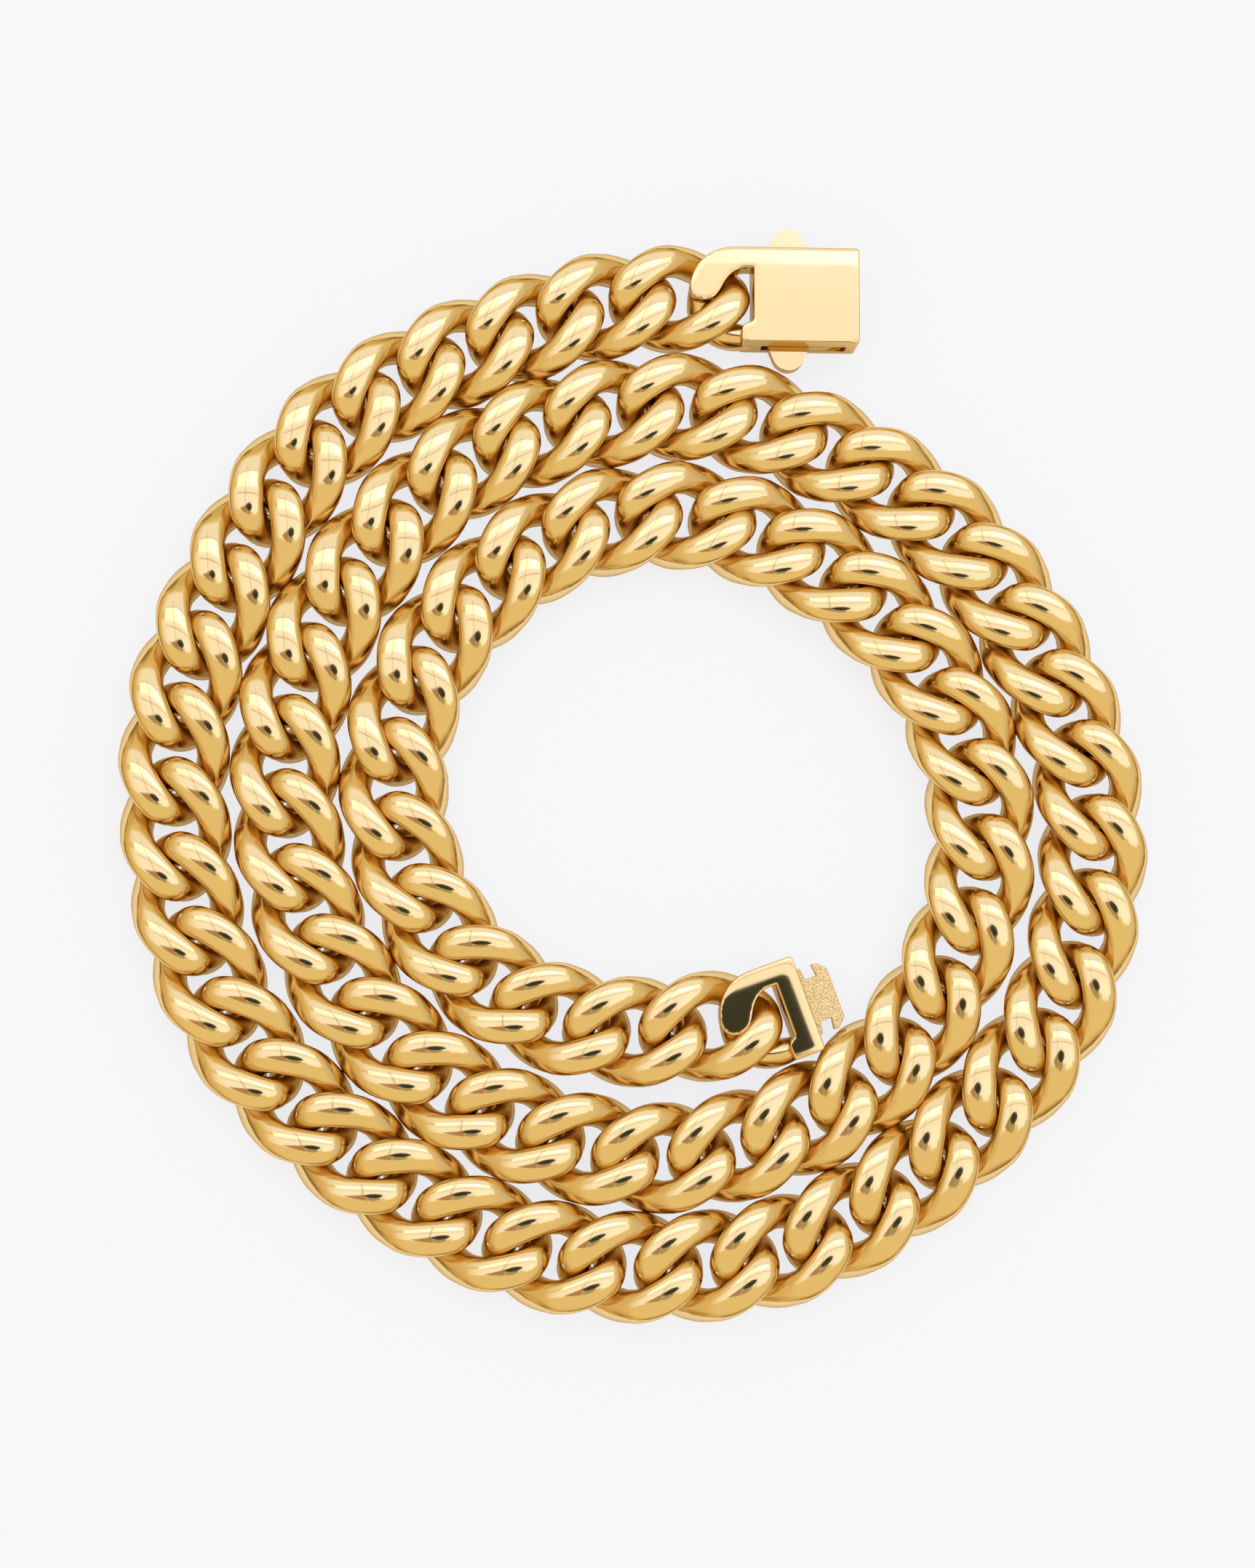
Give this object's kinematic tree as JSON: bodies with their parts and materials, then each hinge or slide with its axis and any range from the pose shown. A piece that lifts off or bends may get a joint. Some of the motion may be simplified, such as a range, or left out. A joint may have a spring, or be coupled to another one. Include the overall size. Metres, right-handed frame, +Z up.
{
  "type": "curb chain necklace",
  "caption": "Flat polished curb chain with a box clasp, lying open in a flat spiral, its notched tongue out of the box and a sprung push lever on each side of the box.",
  "frame": {"origin": "under the middle of the whole necklace's outer box, on the surface that it lies on", "axes": "+Z up, away from the surface; +X along the clasp box from its end ring to its open mouth, the picture's right; +Y to the picture's top"},
  "size_m": [0.093, 0.0997, 0.0042],
  "materials": {
    "polished_gold": "high polish, pale yellow gold colour",
    "matt_gold": "fine grainy matt, pale yellow gold colour"
  },
  "bodies": {
    "necklace": {"chain_outer": "polished_gold", "chain_inner": "polished_gold", "clasp_box": "polished_gold", "tongue_cap": "polished_gold", "tongue_plate": "matt_gold"},
    "upper_lever": {"upper_push_lever": "polished_gold"},
    "lower_lever": {"lower_push_lever": "polished_gold"}
  },
  "joints": [
    {"name": "upper_lever_pivot", "type": "hinge", "parent": "necklace", "child": "upper_lever", "pos_m": [0.0168, 0.04701, 0.0017], "axis": [0, 0, 1], "range_deg": [0, 11], "stiffness_Nm_per_rad": 0.005},
    {"name": "lower_lever_pivot", "type": "hinge", "parent": "necklace", "child": "lower_lever", "pos_m": [0.0168, 0.03941, 0.0017], "axis": [0, 0, -1], "range_deg": [0, 11], "stiffness_Nm_per_rad": 0.005}
  ]
}
